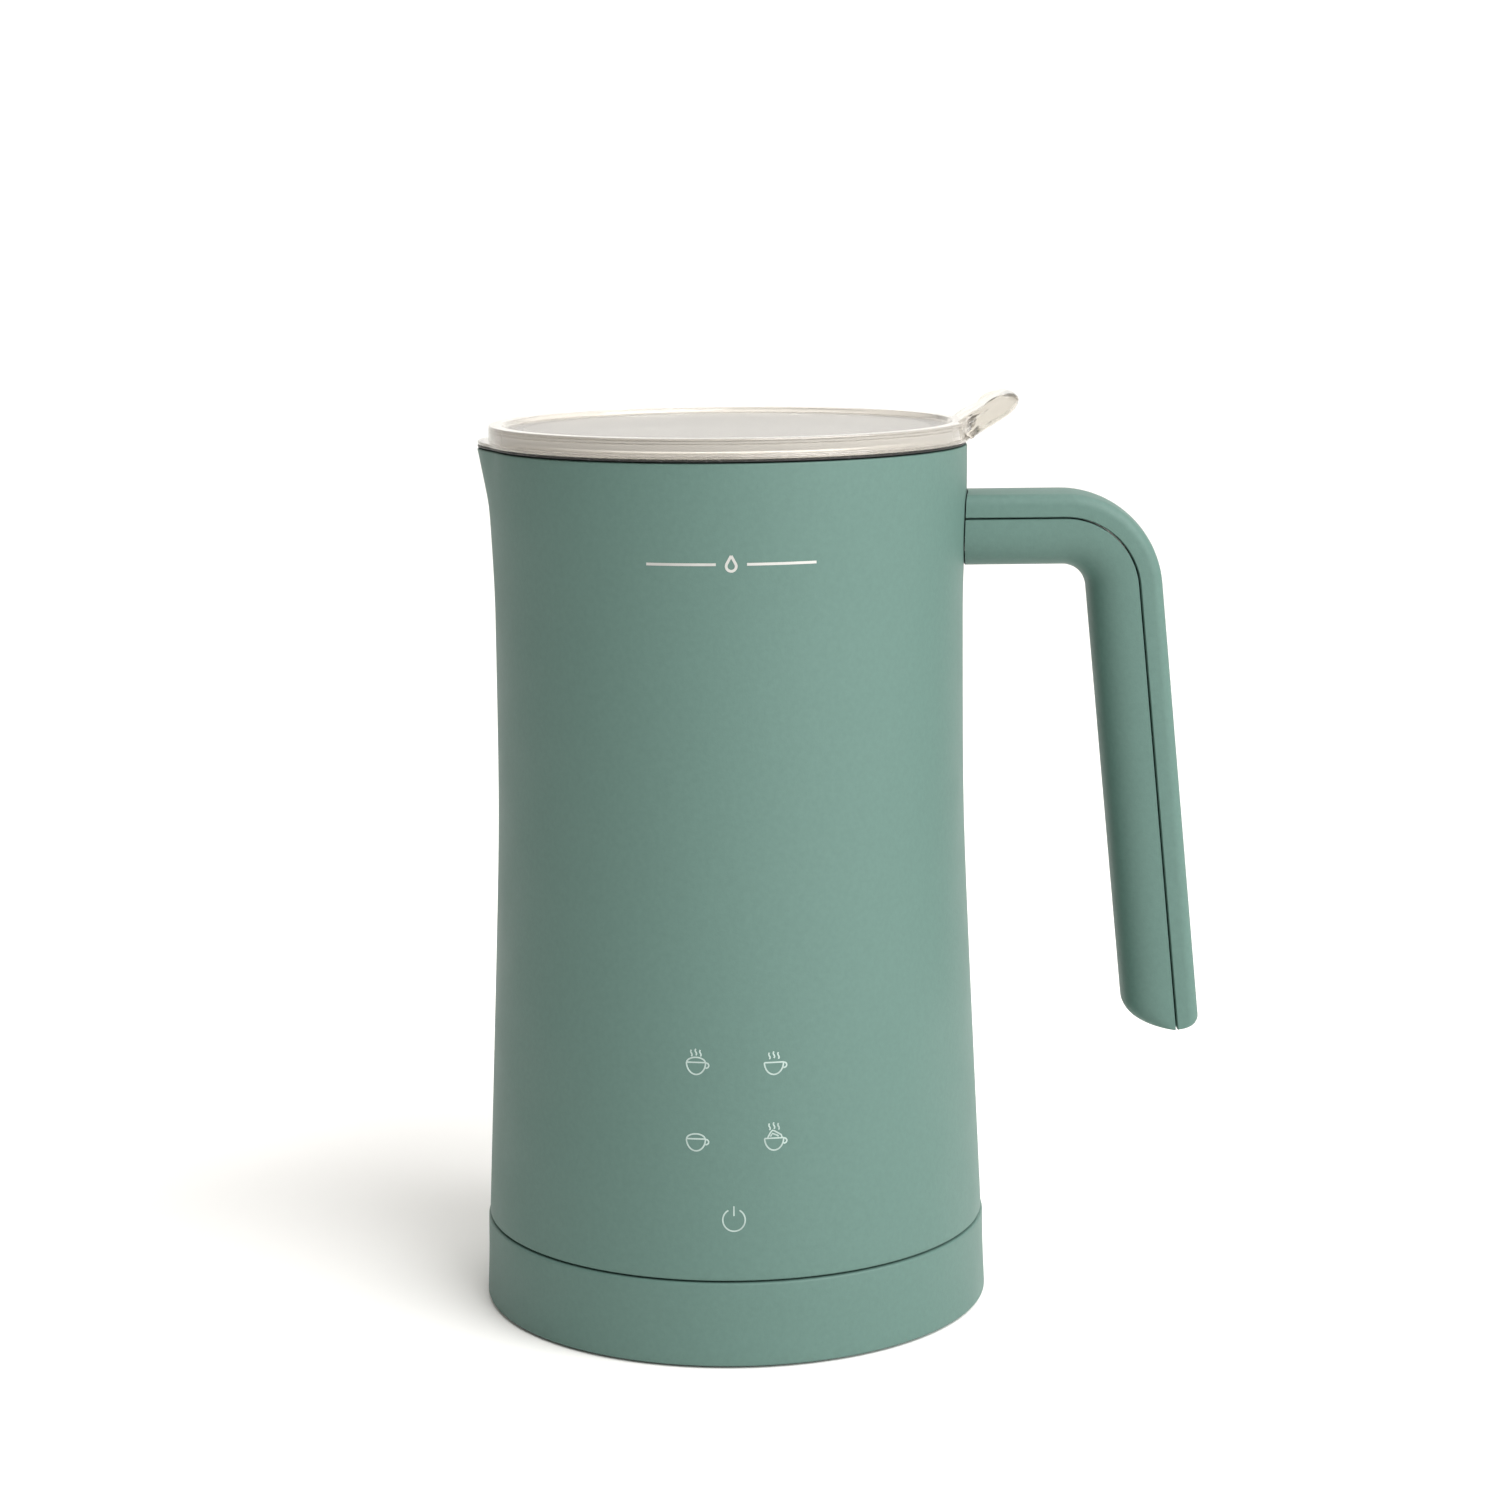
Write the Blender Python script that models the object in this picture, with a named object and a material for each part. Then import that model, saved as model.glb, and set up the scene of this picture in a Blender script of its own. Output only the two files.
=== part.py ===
"""Milk frother: a jug with a magnet-driven whisk that stands on a round power base.

Frame: +Z up, the jug's axis on Z, the handle towards +X, the spout towards -X and the touch
symbols towards -Y.  Z = 0 is the surface that the base stands on.  Dimensions are in millimetres
and are turned into metres where the meshes are made.
"""
import math

import bmesh
import bpy
from mathutils import Matrix

MM = 0.001
GAP = 0.3                       # clearance between neighbouring pieces

# power base
BASE_R = 54.5                   # at its upper edge
BASE_FLARE = 0.5                # wider than that at the table
BASE_TOP = 18.2
BASE_BOTTOM = 0.5
BASE_WALL = 2.0
PLATE_TOP = 3.2
FOOT_R = 5.5
FOOT_PITCH_R = 43.0
BASE_SCREW_PITCH_R = 30.0
CORD_Z = 9.0                    # height of the cord outlet
TOWER_R = 12.0
TOWER_TOP = 29.0

# jug body
JUG_BOTTOM = 18.6
JUG_TOP = 186.05
JUG_WALL = 2.0
WAIST_R = 50.05                 # smallest outer radius, about two thirds up
SKIRT_SLOPE = 0.0465            # widening per millimetre towards the foot
SKIRT_START = 107.0
SKIRT_BLEND = 15.0
FLARE = 0.9                     # widening towards the rim
FLARE_LOW = 150.0
FLARE_HIGH = 182.0
COVER_SCREW_PITCH_R = 46.5

# spout
SPOUT_START = 174.3
SPOUT_SLOPE = 0.19
SPOUT_BLEND = 2.0
SPOUT_HALF_ANGLE = math.radians(18)

# pot
POT_WALL = 0.8
POT_BOTTOM = 80.0               # inside floor
POT_R = 44.5
POT_MOUTH_R = 48.4
POT_FLANGE_R = 50.8
POT_FLANGE_LOW = 186.35
POT_FLANGE_TOP = 186.65

# lid
LID_BOTTOM = 186.95
LID_FLANGE_TOP = 187.6
LID_TOP = 191.0
LID_PANEL_LOW = 188.0
LID_PANEL_TOP = 190.0
LID_FLANGE_R = 51.5
LID_DISC_R = 50.75
LID_RIM_R = 47.9                # inside of the raised rim
LID_SKIRT_R = 45.6
LID_SKIRT_LOW = 179.4

# handle
HANDLE_HALF_WIDTH = 9.5
HANDLE_ARM_Z = 170.5            # height of the joint line along the arm
HANDLE_BEND_X = 71.2
HANDLE_BEND_R = 16.0
HANDLE_LEAN = math.radians(5.3)
HANDLE_GRIP = 97.4              # straight length of the grip
HANDLE_OUT = 5.5                # outer half's depth
HANDLE_IN = 10.35               # inner half's depth
HANDLE_SEAM = 0.35
HANDLE_END_ROUND = 6.5
SCREW_Z = 165.0
SCREW_Y = 5.0

# drive and heater
ROTOR_R = 17.0
ROTOR_LOW = 71.5
ROTOR_TOP = 77.0
SHAFT_R = 1.2
MOTOR_R = 12.0
MOTOR_LOW = 45.3
MOTOR_TOP = 67.0
HEATER_R = 40.0
HEATER_LOW = 74.5
HEATER_TOP = 78.9
WHISK_R = 15.0                  # centre of the coil
WHISK_WIRE_R = 2.7              # radius of the coil
WHISK_Z = 86.5

SHELL_SIDES = 48
PART_SIDES = 28
SMALL_SIDES = 12

MATERIALS = {
    "green_lacquer": ((0.19, 0.27, 0.235, 1), 0.5, 0.0),
    "pot_coating": ((0.03, 0.03, 0.032, 1), 0.4, 0.3),
    "clear_plastic": ((0.80, 0.75, 0.66, 0.4), 0.1, 0.0),
    "dark_plastic": ((0.02, 0.022, 0.022, 1), 0.5, 0.0),
    "silicone": ((0.25, 0.27, 0.26, 1), 0.6, 0.0),
    "rubber": ((0.03, 0.03, 0.03, 1), 0.8, 0.0),
    "steel": ((0.6, 0.6, 0.6, 1), 0.3, 1.0),
    "brass": ((0.72, 0.53, 0.25, 1), 0.3, 1.0),
    "aluminium": ((0.65, 0.66, 0.67, 1), 0.45, 1.0),
    "board": ((0.03, 0.16, 0.08, 1), 0.5, 0.0),
    "magnet": ((0.35, 0.35, 0.36, 1), 0.3, 1.0),
}


def clear_scene():
    for thing in list(bpy.data.objects):
        bpy.data.objects.remove(thing)


def material(name):
    if name in bpy.data.materials:
        return bpy.data.materials[name]
    colour, roughness, metallic = MATERIALS[name]
    made = bpy.data.materials.new(name)
    made.use_nodes = True
    shader = made.node_tree.nodes["Principled BSDF"]
    shader.inputs["Base Color"].default_value = colour
    shader.inputs["Roughness"].default_value = roughness
    shader.inputs["Metallic"].default_value = metallic
    return made


def add_piece(name, bm, look):
    """Turn a bmesh in millimetres into a named object, faces outwards."""
    bmesh.ops.recalc_face_normals(bm, faces=bm.faces)
    mesh = bpy.data.meshes.new(name)
    bm.to_mesh(mesh)
    bm.free()
    mesh.shade_smooth()
    mesh.set_sharp_from_angle(angle=math.radians(35))
    piece = bpy.data.objects.new(name, mesh)
    bpy.context.scene.collection.objects.link(piece)
    mesh.materials.append(material(look))
    return piece


def combine(piece, tool, operation):
    """Apply one Boolean to a piece and remove the tool."""
    modifier = piece.modifiers.new(operation, "BOOLEAN")
    modifier.operation = operation
    modifier.object = tool
    modifier.solver = "EXACT"
    bpy.context.view_layer.update()
    result = bpy.data.meshes.new_from_object(
        piece.evaluated_get(bpy.context.evaluated_depsgraph_get()))
    piece.modifiers.clear()
    piece.data = result
    result.name = piece.name
    bpy.data.objects.remove(tool)


def turned(name, profile, look, sides=PART_SIDES, centre=(0, 0), reach=None, twist=0.0):
    """Spin a closed (radius, z) profile about a vertical axis.

    A profile that starts and ends on the axis gets a pole at each end; any other profile is
    a ring.  reach(radius, z, angle) adds to a point's radius.  twist turns it by a share of a
    side, so that a cutter's corners stay off the corners of what it cuts.
    """
    bm = bmesh.new()
    rings = []
    for radius, z in profile:
        if radius == 0:
            rings.append([bm.verts.new((centre[0], centre[1], z))])
            continue
        ring = []
        for step in range(sides):
            angle = 2 * math.pi * (step + twist) / sides
            r = radius + (reach(radius, z, angle) if reach else 0)
            ring.append(bm.verts.new((centre[0] + r * math.cos(angle),
                                      centre[1] + r * math.sin(angle), z)))
        rings.append(ring)
    poles = profile[0][0] == 0
    pairs = list(zip(rings, rings[1:] if poles else rings[1:] + rings[:1]))
    for low, high in pairs:
        for step in range(sides):
            after = (step + 1) % sides
            corners = [low[step % len(low)], low[after % len(low)],
                       high[after % len(high)], high[step % len(high)]]
            bm.faces.new(list(dict.fromkeys(corners)))
    return add_piece(name, bm, look)


def skinned(name, rings, look):
    """Bridge a row of equal outlines and close both ends."""
    bm = bmesh.new()
    rows = [[bm.verts.new(point) for point in ring] for ring in rings]
    for near, far in zip(rows, rows[1:]):
        for step in range(len(near)):
            after = (step + 1) % len(near)
            bm.faces.new((near[step], near[after], far[after], far[step]))
    bm.faces.new(rows[0])
    bm.faces.new(rows[-1])
    return add_piece(name, bm, look)


def cylinder(name, look, radius, low, high, centre=(0, 0), sides=SMALL_SIDES, chamfer=0.0):
    profile = [(0, low), (radius, low), (radius, high - chamfer)]
    if chamfer:
        profile.append((radius - chamfer, high))
    return turned(name, profile + [(0, high)], look, sides, centre)


def drill(piece, profile, place):
    """Cut a vertical hole with this (radius, z) profile."""
    tool = turned("drill", profile, "steel", SMALL_SIDES, place, twist=0.37)
    combine(piece, tool, "DIFFERENCE")


def lying_cylinder(name, look, profile, along, y, z, sides=SMALL_SIDES, twist=0.0):
    """Spin a (radius, distance) profile about a level axis through (y, z) or (x, z)."""
    piece = turned(name, profile, look, sides, twist=twist)
    for vertex in piece.data.vertices:
        across, other, far = vertex.co
        if along == "x":
            vertex.co = (far, across + y, other + z)
        else:
            vertex.co = (other + y, far, across + z)
    return piece


def box(name, look, low, high):
    xs, ys, zs = zip(low, high)
    return skinned(name, [[(xs[0], ys[0], z), (xs[1], ys[0], z), (xs[1], ys[1], z),
                           (xs[0], ys[1], z)] for z in zs], look)


def around(count, radius, start_degrees):
    """Centres evenly spaced on a circle."""
    for step in range(count):
        angle = math.radians(start_degrees) + 2 * math.pi * step / count
        yield step + 1, (radius * math.cos(angle), radius * math.sin(angle))


def smooth(value):
    value = min(1.0, max(0.0, value))
    return value * value * (3 - 2 * value)


def soft_ramp(distance, blend):
    """Zero below 0 and equal to the distance above it, with a rounded start."""
    return (math.sqrt(distance * distance + blend * blend) + distance) / 2


def jug_radius(z):
    """Outer radius of the jug: a straight flared skirt, a waist and a slight flare at the rim."""
    skirt = SKIRT_SLOPE * soft_ramp(SKIRT_START - z, SKIRT_BLEND)
    return WAIST_R + skirt + FLARE * smooth((z - FLARE_LOW) / (FLARE_HIGH - FLARE_LOW))


def spout_reach(z, angle):
    """How far the narrow spout on the -X side stands out at this height and angle."""
    from_spout = abs(math.pi - angle % (2 * math.pi)) / SPOUT_HALF_ANGLE
    if from_spout >= 1 or z < SPOUT_START - 6:
        return 0.0
    return SPOUT_SLOPE * soft_ramp(z - SPOUT_START, SPOUT_BLEND) * (1 - from_spout ** 2) ** 2


# ---------------------------------------------------------------- power base

def base_shell():
    r = BASE_R
    flare = BASE_FLARE
    inner = r - BASE_WALL
    roof = BASE_TOP - BASE_WALL
    profile = [(r - 2.0, BASE_BOTTOM), (r + flare - 0.5, BASE_BOTTOM), (r + flare, 1.1),
               (r + 0.3, 5.0), (r + 0.1, 10.0), (r, BASE_TOP - 0.6), (r - 0.2, BASE_TOP - 0.2),
               (r - 0.6, BASE_TOP), (19.0, BASE_TOP), (18.5, BASE_TOP - 0.5), (18.5, roof),
               (inner - 1.0, roof), (inner, roof - 1.0)]
    shell = turned("base_shell", profile, "green_lacquer", SHELL_SIDES)
    for number, place in around(3, BASE_SCREW_PITCH_R, 90):
        boss = cylinder("boss", "green_lacquer", 4.0, PLATE_TOP + GAP, roof + 0.5, place)
        combine(shell, boss, "UNION")
        drill(shell, [(0, 0), (1.9, 0), (1.9, 12.0), (0, 12.0)], place)
    outlet = lying_cylinder("outlet", "green_lacquer", [(0, 45), (4.2, 45), (4.2, 65), (0, 65)],
                            "y", 0, CORD_Z, twist=0.37)
    combine(shell, outlet, "DIFFERENCE")


def base_plate():
    plate = cylinder("base_plate", "dark_plastic", BASE_R - BASE_WALL - GAP, BASE_BOTTOM,
                     PLATE_TOP, sides=SHELL_SIDES)
    for number, place in around(4, FOOT_PITCH_R, 45):
        drill(plate, [(0, -1), (FOOT_R + GAP, -1), (FOOT_R + GAP, 2.2), (0, 2.2)], place)
    for number, place in around(3, BASE_SCREW_PITCH_R, 90):
        drill(plate, [(0, -1), (3.6, -1), (3.6, 1.9), (2.0, 1.9), (2.0, 5), (0, 5)], place)


def screw(name, place, head_low, head_high, tip):
    turned(name, [(0, head_low), (3.0, head_low), (3.2, head_low + 0.3), (3.2, head_high),
                  (1.6, head_high), (1.6, tip - 1), (0.6, tip), (0, tip)], "steel",
           SMALL_SIDES, place)


def base_fittings():
    for number, place in around(4, FOOT_PITCH_R, 45):
        turned(f"foot_{number}", [(0, 0), (FOOT_R - 0.5, 0), (FOOT_R, 0.5), (FOOT_R, 1.9), (0, 1.9)],
               "rubber", SMALL_SIDES, place)
    for number, place in around(3, BASE_SCREW_PITCH_R, 90):
        screw(f"base_screw_{number}", place, 0.8, 1.6, 10.0)
    gland = [(2.4, 50), (3.9, 50), (3.9, 55.3), (5.2, 55.4), (5.2, 56.2), (4.7, 56.7), (2.4, 56.7)]
    lying_cylinder("cord_gland", "dark_plastic", gland, "y", 0, CORD_Z)


def base_connector():
    low = PLATE_TOP + GAP
    tower = [(0, low), (17.5, low), (17.5, low + 2.5), (TOWER_R, low + 2.5),
             (TOWER_R, TOWER_TOP - 0.6), (TOWER_R - 0.6, TOWER_TOP), (9.1, TOWER_TOP),
             (8.5, TOWER_TOP - 0.6), (8.5, low + 2.5), (0, low + 2.5)]
    turned("connector_tower", tower, "dark_plastic")
    foot = low + 2.5 + GAP
    turned("contact_pin", [(0, foot), (1.6, foot), (1.6, 26.0), (0.9, 27.0), (0, 27.0)], "brass",
           SMALL_SIDES)
    turned("contact_ring", [(5.2, foot), (6.4, foot), (6.4, 24.0), (5.2, 24.0)], "brass", 24)


# ---------------------------------------------------------------- jug

def outer_shell():
    heights = [JUG_BOTTOM + 0.8, 40.0, 64.0, 88.0, 107.0, 126.0, 148.0, 158.0, 168.0, 174.0, 180.0,
               JUG_TOP - 0.5]
    outside = [(jug_radius(z), z) for z in heights]
    inside = [(r - JUG_WALL, z) for r, z in outside[1::2]]
    top_r, bottom_r = jug_radius(JUG_TOP), jug_radius(JUG_BOTTOM)
    profile = [(bottom_r - JUG_WALL, JUG_BOTTOM), (bottom_r - 0.6, JUG_BOTTOM)] + outside
    profile += [(top_r - 0.5, JUG_TOP), (top_r - JUG_WALL, JUG_TOP)] + inside[::-1]
    shell = turned("outer_shell", profile, "green_lacquer", SHELL_SIDES,
                   reach=lambda r, z, angle: spout_reach(z, angle))
    for side in (-1, 1):
        hole = lying_cylinder("hole", "steel", [(0, 40), (2.0, 40), (2.0, 60), (0, 60)],
                              "x", side * SCREW_Y, SCREW_Z, twist=0.37)
        combine(shell, hole, "DIFFERENCE")


def inner_pot():
    floor, wall = POT_BOTTOM, POT_WALL
    outer = [(38.0, floor - wall), (42.5, floor + 0.9), (POT_R, floor + 6.0), (POT_R, 158.0),
             (POT_R, 166.0), (POT_R + 2.0, 173.0), (POT_MOUTH_R, 179.0),
             (POT_MOUTH_R, POT_FLANGE_LOW - 1.1)]
    inner = [(r - wall, z + (wall if z < floor + 2 else 0)) for r, z in outer]
    flange = [(POT_MOUTH_R + 0.6, POT_FLANGE_LOW), (POT_FLANGE_R - 0.15, POT_FLANGE_LOW),
              (POT_FLANGE_R, (POT_FLANGE_LOW + POT_FLANGE_TOP) / 2),
              (POT_FLANGE_R - 0.15, POT_FLANGE_TOP), (POT_MOUTH_R, POT_FLANGE_TOP)]
    profile = [(0, floor - wall)] + outer + flange + inner[::-1] + [(0, floor)]
    turned("inner_pot", profile, "pot_coating", SHELL_SIDES,
           reach=lambda r, z, angle: spout_reach(z, angle))


def pivot_pin():
    low = POT_BOTTOM + GAP
    turned("pivot_pin", [(0, low), (4.0, low), (4.0, low + 0.8), (1.5, low + 0.8), (1.5, 85.0),
                         (0.7, 86.0), (0, 86.0)], "steel", SMALL_SIDES)


def bottom_cover():
    low = JUG_BOTTOM + GAP
    cover = turned("bottom_cover", [(17.0, low), (51.3, low), (51.3, low + 2.2), (17.0, low + 2.2)],
                   "dark_plastic", SHELL_SIDES)
    for number, place in around(3, COVER_SCREW_PITCH_R, 90):
        drill(cover, [(0, 15), (3.6, 15), (3.6, low + 1.2), (2.0, low + 1.2), (2.0, 25), (0, 25)],
              place)
        screw(f"cover_screw_{number}", place, low + 0.2, low + 0.9, 29.0)


def jug_socket():
    low = JUG_BOTTOM + 0.5
    profile = [(0, 28.0), (2.0, 28.0), (2.0, low), (4.9, low), (4.9, 25.0), (6.7, 25.0),
               (6.7, low), (8.2, low), (8.2, 29.6), (12.3, 29.6), (12.3, low), (16.5, low),
               (16.5, 34.0), (0, 34.0)]
    turned("jug_socket", profile, "dark_plastic")


def chassis():
    floor = 42.3
    deck = cylinder("chassis", "dark_plastic", 45.3, floor, floor + 2.7, sides=40)
    for number, place in around(3, COVER_SCREW_PITCH_R, 90):
        leg = cylinder("leg", "dark_plastic", 3.5, JUG_BOTTOM + 2.8, floor + 1.6, place)
        combine(deck, leg, "UNION")
        drill(deck, [(0, 15), (1.9, 15), (1.9, 33.0), (0, 33.0)], place)


def electronics():
    cylinder("control_board", "board", 42.0, 37.0, 38.6, sides=PART_SIDES)
    box("transformer", "dark_plastic", (19, 0, 24), (36, 16, 36.7))
    box("relay", "dark_plastic", (-36, 5, 26), (-20, 16, 36.7))
    cylinder("capacitor", "aluminium", 5.0, 25.0, 36.7, (-20, -18), chamfer=0.5)
    box("touch_board", "board", (-14, -47.2, 26), (14, -46.0, 70))


def heater():
    turned("heater_plate", [(20.0, HEATER_LOW), (HEATER_R, HEATER_LOW), (HEATER_R, HEATER_TOP),
                            (20.0, HEATER_TOP)], "aluminium")
    turned("heat_shield", [(38.0, 45.3), (38.8, 45.3), (38.8, HEATER_LOW - GAP),
                           (38.0, HEATER_LOW - GAP)], "steel")
    cylinder("temperature_sensor", "steel", 2.5, 68.0, HEATER_LOW - GAP, (0, -24))
    box("thermal_cutout", "dark_plastic", (-6, 21.5, 68.5), (6, 26.5, HEATER_LOW - GAP))
    element_r, tube_r = 30.0, 3.0
    rings = []
    for step in range(25):
        angle = math.radians(90 + 25 + 310 * step / 24)
        ring = []
        for turn in range(8):
            swing = 2 * math.pi * turn / 8
            r = element_r + tube_r * math.cos(swing)
            ring.append((r * math.cos(angle), r * math.sin(angle),
                         HEATER_LOW - GAP - tube_r + tube_r * math.sin(swing)))
        rings.append(ring)
    skinned("heating_element", rings, "steel")


def motor():
    bore = SHAFT_R + GAP
    turned("motor", [(0, MOTOR_LOW), (MOTOR_R - 0.8, MOTOR_LOW), (MOTOR_R, MOTOR_LOW + 0.8),
                     (MOTOR_R, MOTOR_TOP - 0.8), (MOTOR_R - 0.8, MOTOR_TOP), (4.0, MOTOR_TOP),
                     (4.0, MOTOR_TOP + 2.0), (bore, MOTOR_TOP + 2.0), (bore, 58.0), (0, 58.0)],
           "steel", 24)


# ---------------------------------------------------------------- magnet drive

def magnet_rotor():
    turned("rotor_shaft", [(0, 58.4), (SHAFT_R, 58.4), (SHAFT_R, 74.6), (0, 74.6)], "steel", 12)
    bore = SHAFT_R + GAP
    disc = turned("rotor_disc", [(0, 75.0), (bore, 75.0), (bore, ROTOR_LOW), (ROTOR_R, ROTOR_LOW),
                                 (ROTOR_R, ROTOR_TOP), (0, ROTOR_TOP)], "dark_plastic")
    for number, place in around(2, 10.0, 0):
        drill(disc, [(0, 73.9), (4.0 + GAP, 73.9), (4.0 + GAP, 80), (0, 80)], place)
        cylinder(f"rotor_magnet_{number}", "magnet", 4.0, 74.2, ROTOR_TOP - 0.1, place)


def whisk():
    low, mid = 81.5, WHISK_Z
    waist = WHISK_R - WHISK_WIRE_R - GAP
    profile = [(0, 86.6), (2.0, 86.6), (2.0, low), (13.0, low), (13.4, low + 0.4),
               (13.4, low + 1.4), (waist, low + 2.2), (waist, mid + 2.8), (12.4, mid + 3.4),
               (11.6, mid + 4.4), (5.0, mid + 5.2), (3.4, mid + 6.2), (3.4, mid + 9.4),
               (2.6, mid + 10.2), (0, mid + 10.2)]
    hub = turned("whisk_hub", profile, "dark_plastic")
    for number, place in around(2, 7.5, 0):
        drill(hub, [(0, 80), (3.0 + GAP, 80), (3.0 + GAP, 84.0), (0, 84.0)], place)
        cylinder(f"whisk_magnet_{number}", "magnet", 3.0, low + 0.1, 83.7, place)
    coil = [(WHISK_R + WHISK_WIRE_R * math.cos(2 * math.pi * turn / 10),
             mid + WHISK_WIRE_R * math.sin(2 * math.pi * turn / 10)) for turn in range(10)]
    turned("whisk_spring", coil, "steel")


# ---------------------------------------------------------------- lid

def lid_cover():
    profile = [(0, LID_PANEL_LOW), (43.8, LID_PANEL_LOW), (43.8, LID_SKIRT_LOW),
               (LID_SKIRT_R, LID_SKIRT_LOW), (LID_SKIRT_R, LID_BOTTOM),
               (LID_FLANGE_R - 0.2, LID_BOTTOM), (LID_FLANGE_R, LID_BOTTOM + 0.2),
               (LID_FLANGE_R, LID_FLANGE_TOP - 0.2), (LID_DISC_R, LID_FLANGE_TOP),
               (LID_DISC_R, LID_TOP - 0.9), (LID_DISC_R - 0.3, LID_TOP - 0.3),
               (LID_DISC_R - 0.9, LID_TOP), (LID_RIM_R, LID_TOP), (LID_RIM_R - 0.5, LID_PANEL_TOP),
               (0, LID_PANEL_TOP)]

    def flange_reach(radius, z, angle):
        """Only the thin flange follows the spout."""
        on_flange = radius > LID_DISC_R + 0.1
        return 0.65 * spout_reach(z, angle) if on_flange else 0.0

    cover = turned("lid_cover", profile, "clear_plastic", SHELL_SIDES, reach=flange_reach)
    combine(cover, lid_tab(), "UNION")


def lid_tab():
    """A thumb tab that rises over the handle, rounded at its tip in side view and in plan."""
    outline = [(48.4, 189.6), (48.4, 190.7), (51.2, 192.8), (58.1, 196.4), (60.0, 196.9),
               (61.3, 196.3), (61.8, 195.0), (60.7, 192.9), (56.0, 189.8), (52.2, 187.9),
               (51.7, 189.2), (49.5, 189.2)]
    rings = []
    for y in (-9.0, -8.0, -5.5, 5.5, 8.0, 9.0):
        pulled = 3.2 * (abs(y) / 9.0) ** 5
        rings.append([(x - pulled * smooth((x - 52) / 8), y, z) for x, z in outline])
    return skinned("tab", rings, "clear_plastic")


def lid_seal():
    inner = LID_SKIRT_R + GAP
    low = LID_SKIRT_LOW + 1.0
    profile = [(inner, low)]
    for lip in (low, low + 2.8):
        profile += [(inner + 0.8, lip), (47.2, lip + 1.0), (inner + 0.8, lip + 1.6)]
    turned("lid_seal", profile + [(inner, low + 4.4)], "silicone", SHELL_SIDES)


# ---------------------------------------------------------------- handle

def bend_station(share):
    """A station this share of the way round the bend, from the arm to the grip."""
    whole = math.pi / 2 - HANDLE_LEAN
    angle = whole * share
    return (HANDLE_BEND_X + HANDLE_BEND_R * math.sin(angle),
            HANDLE_ARM_Z - HANDLE_BEND_R + HANDLE_BEND_R * math.cos(angle),
            math.sin(angle), math.cos(angle), HANDLE_GRIP + HANDLE_BEND_R * whole * (1 - share))


def grip_station(left):
    """A station on the straight grip, at this distance from its lower end."""
    x, z = bend_station(1.0)[:2]
    down = HANDLE_GRIP - left
    return (x + down * math.sin(HANDLE_LEAN), z - down * math.cos(HANDLE_LEAN),
            math.cos(HANDLE_LEAN), math.sin(HANDLE_LEAN), left)


def handle_path():
    """Stations along the joint line: x, z, the outward normal and the distance to the lower end."""
    stations = [bend_station(step / 9) for step in range(10)]
    lower = (50.0, 8.0, 6.5, 4.4, 2.8, 1.6, 0.7, 0.2, 0.0)
    return stations + [grip_station(left) for left in lower]


def end_round(left, length):
    """Quarter ellipse from 0 at the lower end to 1 at this distance from it."""
    if left >= length:
        return 1.0
    return math.sqrt(1 - ((length - left) / length) ** 2)


def inner_outline(left):
    """The grip's palm side: a rounded D in (across, outward) coordinates."""
    depth = 0.8 + (HANDLE_IN - 0.8) * end_round(left, HANDLE_END_ROUND)
    points = []
    for step in range(11):
        angle = math.pi * step / 10
        across = abs(math.cos(angle)) ** 0.75 * math.copysign(1, math.cos(angle))
        points.append((HANDLE_HALF_WIDTH * across,
                       -HANDLE_SEAM / 2 - depth * math.sin(angle) ** 0.75))
    return points


def outer_outline(left):
    """The grip's outer side: flatter, with rounded edges."""
    depth = 3.0 + (HANDLE_OUT - 3.0) * end_round(left, 2.6)
    half, seam, corner = HANDLE_HALF_WIDTH, HANDLE_SEAM / 2, 2.4
    points = [(half, seam)]
    for step in range(4):
        angle = math.pi / 2 * step / 3
        points.append((half - corner * (1 - math.cos(angle)),
                       depth - 0.4 - corner * (1 - math.sin(angle))))
    points.append((0.0, depth))
    return points + [(-y, w) for y, w in points[-2::-1]]


def on_handle(station, outline):
    x, z, nx, nz, left = station
    return [(x + w * nx, y, z + w * nz) for y, w in outline]


def handle_half(name, outline_at):
    """One half of the handle, with its root cut to fit round the jug's wall."""
    rings = [[(46.0, y, HANDLE_ARM_Z + w) for y, w in outline_at(HANDLE_GRIP)]]
    rings += [on_handle(station, outline_at(station[4])) for station in handle_path()]
    half = skinned(name, rings, "green_lacquer")
    wall = [(jug_radius(z) + GAP, z) for z in (156.0, 164.0, 170.0, 175.0, 180.0)]
    combine(half, turned("wall", [(0, 156.0)] + wall + [(0, 180.0)], "steel", SHELL_SIDES),
            "DIFFERENCE")
    return half


def strip(name, look, half, low, high, stop, start_x):
    """A flat strip that follows the joint line from start_x down to this distance from the end."""
    outline = [(half, low), (half, high), (-half, high), (-half, low)]
    rings = [[(start_x, y, HANDLE_ARM_Z + w) for y, w in outline]]
    rings += [on_handle(bend_station((step + 0.5) / 12), outline) for step in range(12)]
    rings.append(on_handle(grip_station(stop), outline))
    return skinned(name, rings, look)


def handle():
    inner = handle_half("handle_inner", inner_outline)
    handle_half("handle_outer", outer_outline)
    combine(inner, strip("slot", "steel", 5.0, -3.0, 1.0, 7.0, 54.0), "DIFFERENCE")
    strip("handle_core", "steel", 4.6, -2.7, -0.3, 7.9, 54.4)
    for number, side in ((1, -1), (2, 1)):
        bore = lying_cylinder("bore", "steel", [(0, 40), (1.9, 40), (1.9, 63), (0, 63)],
                              "x", side * SCREW_Y, SCREW_Z, twist=0.37)
        combine(inner, bore, "DIFFERENCE")
        lying_cylinder(f"handle_screw_{number}", "steel",
                       [(0, 45.6), (3.0, 45.6), (3.2, 45.9), (3.2, 47.3), (1.6, 47.3), (1.6, 61.0),
                        (0.6, 62.0), (0, 62.0)], "x", side * SCREW_Y, SCREW_Z)


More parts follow.
